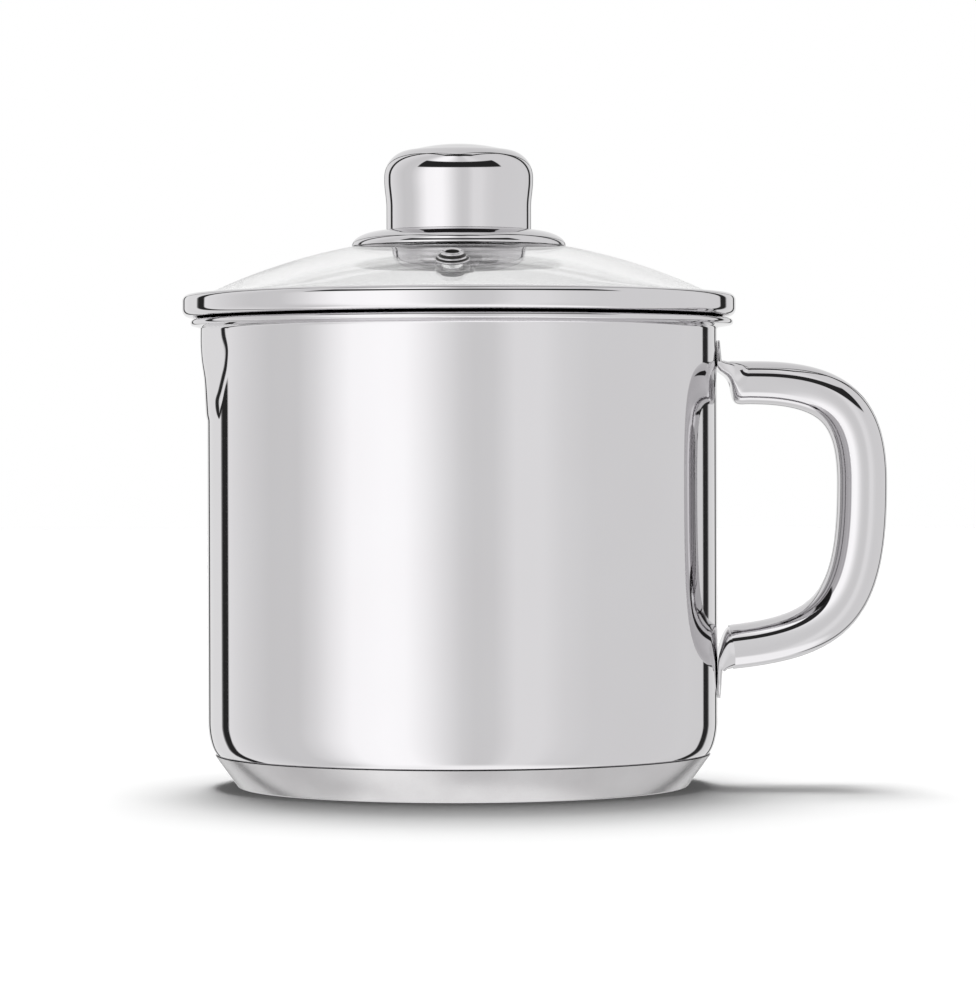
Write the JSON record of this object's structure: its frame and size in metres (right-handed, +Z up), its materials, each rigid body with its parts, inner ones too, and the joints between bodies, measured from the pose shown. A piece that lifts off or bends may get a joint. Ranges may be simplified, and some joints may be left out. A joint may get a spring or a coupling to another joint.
{
  "type": "milk pan with lid",
  "caption": "Deep straight-sided pan with a rolled pouring lip, pressed spout, encapsulated base, hollow loop handle and lift-off domed glass lid with a drawn knob and steam eyelet.",
  "frame": {"origin": "centre of the pan's flat underside, on the pot's axis", "axes": "+Z up out of the pan's mouth, +X from the pot's axis towards the handle, with the spout at -X; the steam eyelet is on the -Y side of the lid as it lies"},
  "size_m": [0.1951, 0.1532, 0.178],
  "materials": {
    "polished_steel": "polished",
    "satin_steel": "satin",
    "aluminium": "matte",
    "tempered_glass": "polished",
    "silicone": "matte"
  },
  "bodies": {
    "pan": {"pan_body": "polished_steel", "base_core": "aluminium", "base_cap": "satin_steel", "handle": "polished_steel"},
    "lid": {"lid_glass": "tempered_glass", "lid_band": "polished_steel", "vent_eyelet": "polished_steel", "vent_washer": "satin_steel", "knob_gasket_upper": "silicone", "knob_gasket_lower": "silicone", "knob_washer": "satin_steel", "knob_rosette": "polished_steel", "knob_cap": "polished_steel", "knob_boss": "satin_steel", "knob_screw": "satin_steel"}
  },
  "joints": [
    {"name": "lid_lift", "type": "slide", "parent": "pan", "child": "lid", "axis": [0, 0, 1], "range_m": [0, 0.08]}
  ]
}
